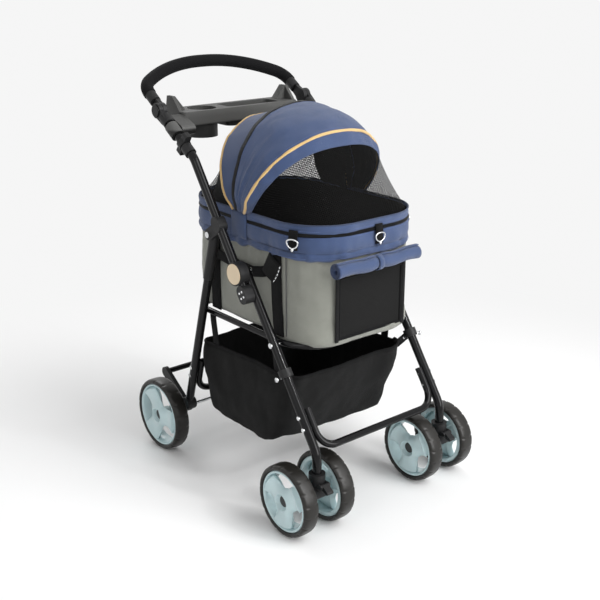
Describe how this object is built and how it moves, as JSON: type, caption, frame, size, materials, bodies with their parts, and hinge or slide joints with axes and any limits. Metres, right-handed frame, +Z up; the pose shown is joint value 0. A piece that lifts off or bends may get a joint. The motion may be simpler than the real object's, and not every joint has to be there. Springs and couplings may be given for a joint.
{
  "type": "pet stroller",
  "caption": "Folding pet stroller with twin swivel casters, a lift-off soft carrier under a mesh canopy, a tilting handle with a cup tray, a basket and a foot brake.",
  "frame": {"origin": "floor level, midway between the sides and between the front tyres' front and the handle's rear", "axes": "+X to the stroller's left, -Y to its front, +Z up"},
  "size_m": [0.516, 0.7092, 0.9388],
  "materials": {
    "frame_black": "gloss black powder coat",
    "bright_steel": "bright",
    "black_plastic": "moulded, satin",
    "tray_gray": "fine grain",
    "badge_cream": "satin",
    "foam": "closed-cell foam",
    "rim_ice": "semi-gloss",
    "tyre_black": "moulded tread",
    "fabric_blue": "canvas weave",
    "fabric_gray": "canvas weave",
    "mesh_black": "open mesh",
    "mat": "padded"
  },
  "bodies": {
    "front_frame": {"front_legs": "frame_black", "front_crossbar": "frame_black", "front_rivets": "bright_steel", "leg_collars": "black_plastic", "pivot_bolts": "bright_steel", "swivel_pins": "bright_steel"},
    "upper_frame": {"upper_tubes": "frame_black", "hinge_housings": "black_plastic", "hinge_badges": "badge_cream", "tube_lock_blocks": "black_plastic", "rear_leg_brackets": "black_plastic", "rear_leg_bolts": "bright_steel", "cup_tray": "tray_gray", "handle_knuckles": "black_plastic", "trigger_ferrules": "black_plastic"},
    "left_trigger": {"left_fold_trigger": "black_plastic"},
    "right_trigger": {"right_fold_trigger": "black_plastic"},
    "handle": {"handle_tube": "frame_black", "handle_grip": "foam", "handle_arms": "black_plastic"},
    "left_button": {"left_handle_button": "black_plastic"},
    "right_button": {"right_handle_button": "black_plastic"},
    "rear_frame": {"rear_legs": "frame_black", "rear_leg_sleeves": "black_plastic", "rear_crossbar": "frame_black", "rear_rivets": "bright_steel", "rear_wheel_brackets": "black_plastic", "rear_axle": "bright_steel"},
    "brake": {"brake_pedal": "frame_black"},
    "seat_frame": {"seat_loop": "frame_black", "basket": "mesh_black"},
    "carrier": {"carrier_body": "fabric_gray", "floor_mat": "mat", "rim_band": "fabric_blue", "rear_mesh": "mesh_black", "rear_bow": "bright_steel", "flap_roll": "fabric_blue", "snap_hooks": "bright_steel"},
    "door": {"front_door": "mesh_black"},
    "canopy": {"canopy_fabric": "fabric_blue", "front_mesh": "mesh_black", "front_bow": "bright_steel"},
    "left_caster": {"left_caster_fork": "black_plastic", "left_caster_axle": "bright_steel"},
    "left_lock": {"left_swivel_lock": "black_plastic"},
    "left_outer_front_wheel": {"left_outer_front_tyre": "tyre_black", "left_outer_front_rim": "rim_ice"},
    "left_inner_front_wheel": {"left_inner_front_tyre": "tyre_black", "left_inner_front_rim": "rim_ice"},
    "left_rear_wheel": {"left_rear_tyre": "tyre_black", "left_rear_rim": "rim_ice"},
    "right_caster": {"right_caster_fork": "black_plastic", "right_caster_axle": "bright_steel"},
    "right_lock": {"right_swivel_lock": "black_plastic"},
    "right_outer_front_wheel": {"right_outer_front_tyre": "tyre_black", "right_outer_front_rim": "rim_ice"},
    "right_inner_front_wheel": {"right_inner_front_tyre": "tyre_black", "right_inner_front_rim": "rim_ice"},
    "right_rear_wheel": {"right_rear_tyre": "tyre_black", "right_rear_rim": "rim_ice"}
  },
  "joints": [
    {"name": "fold", "type": "hinge", "parent": "front_frame", "child": "upper_frame", "pos_m": [0, -0.07164, 0.525], "axis": [1, 0, 0], "range_deg": [0, 165], "deforming": ["carrier_body", "floor_mat", "rim_band", "rear_mesh", "rear_bow", "flap_roll", "snap_hooks", "front_door", "canopy_fabric", "front_mesh", "front_bow", "basket"]},
    {"name": "rear_leg_fold", "type": "hinge", "parent": "upper_frame", "child": "rear_frame", "pos_m": [0, 0.04336, 0.585], "axis": [1, 0, 0], "range_deg": [-57.92, 0]},
    {"name": "seat_fold", "type": "hinge", "parent": "front_frame", "child": "seat_frame", "pos_m": [0, -0.167, 0.385], "axis": [1, 0, 0], "range_deg": [0, 58.58]},
    {"name": "left_trigger_pull", "type": "slide", "parent": "upper_frame", "child": "left_trigger", "axis": [0, 0.829, 0.5592], "range_m": [0, 0.01], "stiffness_N_per_m": 400},
    {"name": "right_trigger_pull", "type": "slide", "parent": "upper_frame", "child": "right_trigger", "axis": [0, 0.829, 0.5592], "range_m": [0, 0.01], "stiffness_N_per_m": 400},
    {"name": "handle_tilt", "type": "hinge", "parent": "upper_frame", "child": "handle", "pos_m": [0, 0.21164, 0.8376], "axis": [1, 0, 0], "range_deg": [-45, 45]},
    {"name": "left_button_press", "type": "slide", "parent": "upper_frame", "child": "left_button", "axis": [-1, 0, 0], "range_m": [0, 0.002], "stiffness_N_per_m": 800},
    {"name": "right_button_press", "type": "slide", "parent": "upper_frame", "child": "right_button", "axis": [1, 0, 0], "range_m": [0, 0.002], "stiffness_N_per_m": 800},
    {"name": "brake_press", "type": "hinge", "parent": "rear_frame", "child": "brake", "pos_m": [0, 0.23336, 0.09], "axis": [1, 0, 0], "range_deg": [-18, 0]},
    {"name": "carrier_lift", "type": "slide", "parent": "seat_frame", "child": "carrier", "axis": [0, -0.5, 0.866], "range_m": [0, 0.3]},
    {"name": "door_open", "type": "hinge", "parent": "carrier", "child": "door", "pos_m": [0, -0.26064, 0.3998], "axis": [1, 0, 0], "range_deg": [0, 100]},
    {"name": "canopy_fold", "type": "hinge", "parent": "carrier", "child": "canopy", "pos_m": [0, -0.02264, 0.649], "axis": [1, 0, 0], "range_deg": [-65, 0], "deforming": ["canopy_fabric", "front_mesh"]},
    {"name": "left_caster_swivel", "type": "hinge", "parent": "front_frame", "child": "left_caster", "pos_m": [0.188, -0.30664, 0.14], "axis": [0, 0, 1], "continuous": true},
    {"name": "left_lock_press", "type": "hinge", "parent": "left_caster", "child": "left_lock", "pos_m": [0.188, -0.33064, 0.118], "axis": [1, 0, 0], "range_deg": [0, 25]},
    {"name": "left_outer_front_spin", "type": "hinge", "parent": "left_caster", "child": "left_outer_front_wheel", "pos_m": [0.239, -0.27464, 0.08], "axis": [1, 0, 0], "continuous": true},
    {"name": "left_inner_front_spin", "type": "hinge", "parent": "left_caster", "child": "left_inner_front_wheel", "pos_m": [0.137, -0.27464, 0.08], "axis": [1, 0, 0], "continuous": true},
    {"name": "left_rear_spin", "type": "hinge", "parent": "rear_frame", "child": "left_rear_wheel", "pos_m": [0.225, 0.23336, 0.09], "axis": [1, 0, 0], "continuous": true},
    {"name": "right_caster_swivel", "type": "hinge", "parent": "front_frame", "child": "right_caster", "pos_m": [-0.188, -0.30664, 0.14], "axis": [0, 0, 1], "continuous": true},
    {"name": "right_lock_press", "type": "hinge", "parent": "right_caster", "child": "right_lock", "pos_m": [-0.188, -0.33064, 0.118], "axis": [1, 0, 0], "range_deg": [0, 25]},
    {"name": "right_outer_front_spin", "type": "hinge", "parent": "right_caster", "child": "right_outer_front_wheel", "pos_m": [-0.239, -0.27464, 0.08], "axis": [1, 0, 0], "continuous": true},
    {"name": "right_inner_front_spin", "type": "hinge", "parent": "right_caster", "child": "right_inner_front_wheel", "pos_m": [-0.137, -0.27464, 0.08], "axis": [1, 0, 0], "continuous": true},
    {"name": "right_rear_spin", "type": "hinge", "parent": "rear_frame", "child": "right_rear_wheel", "pos_m": [-0.225, 0.23336, 0.09], "axis": [1, 0, 0], "continuous": true}
  ],
  "couplings": [
    {"joint": "rear_leg_fold", "follows": "fold", "ratio": -0.348},
    {"joint": "seat_fold", "follows": "fold", "ratio": 0.352}
  ]
}
